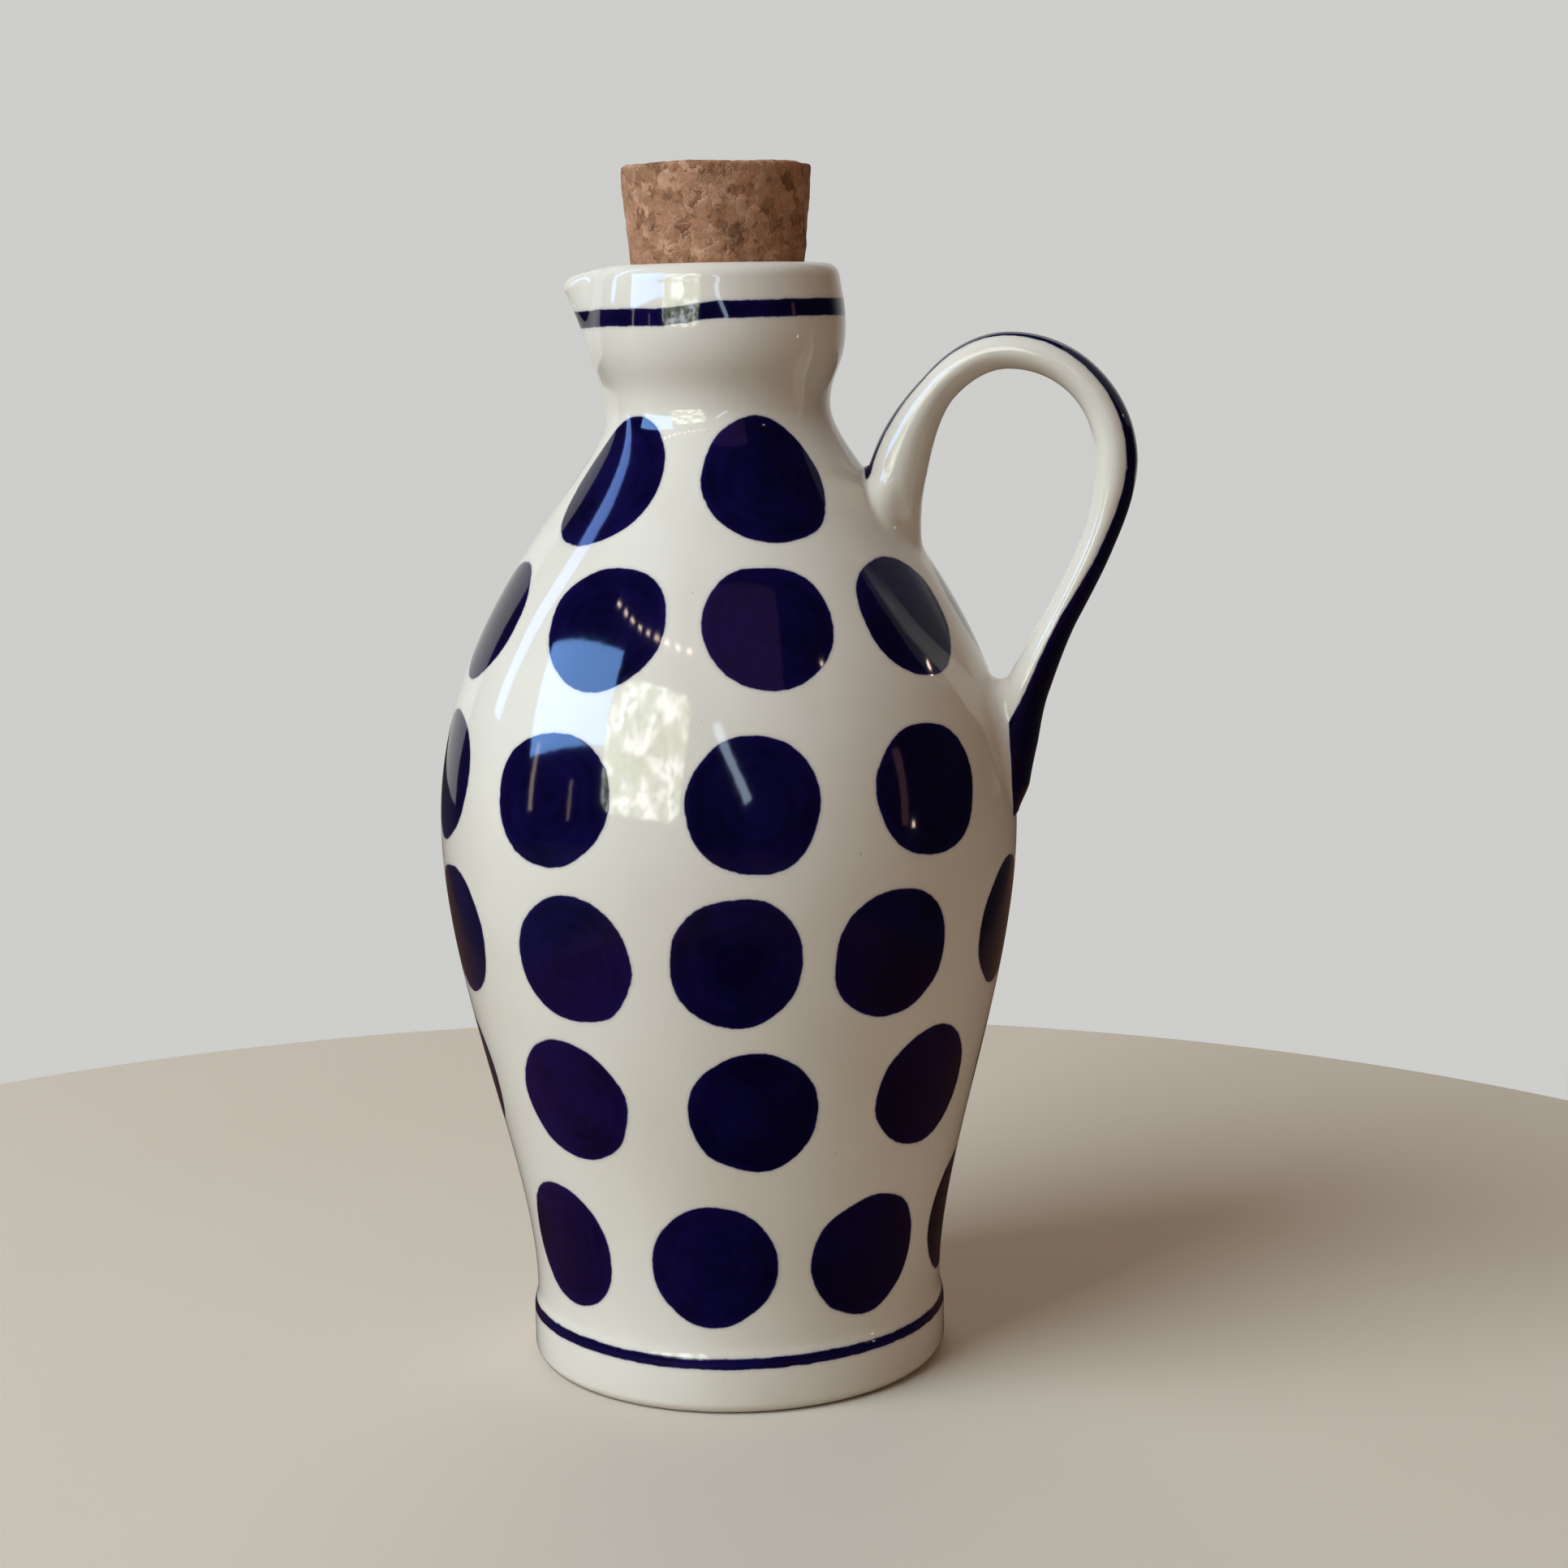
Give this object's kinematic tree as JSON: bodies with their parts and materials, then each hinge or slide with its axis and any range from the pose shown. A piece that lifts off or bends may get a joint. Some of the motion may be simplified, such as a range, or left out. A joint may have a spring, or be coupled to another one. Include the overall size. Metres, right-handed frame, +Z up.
{
  "type": "cruet bottle",
  "caption": "Hollow glazed bottle with a pinched pouring lip, a side loop handle and a lift-out tapered cork, for oil or vinegar.",
  "frame": {"origin": "centre of the foot ring, on the surface that the bottle stands on", "axes": "+Z up along the bottle's axis, +X from the axis towards the handle, the lip points along -X"},
  "size_m": [0.1182, 0.0978, 0.202],
  "materials": {
    "glaze": "glossy warm white glaze with hand-stamped cobalt blue dots and bands",
    "handle_glaze": "glossy warm white glaze with a cobalt blue stripe along the back",
    "cork": "matte agglomerated cork"
  },
  "bodies": {
    "bottle": {"bottle_body": "glaze", "handle": "handle_glaze"},
    "stopper": {"cork_stopper": "cork"}
  },
  "joints": [
    {"name": "stopper_lift", "type": "slide", "parent": "bottle", "child": "stopper", "axis": [0, 0, 1], "range_m": [0, 0.06]}
  ]
}
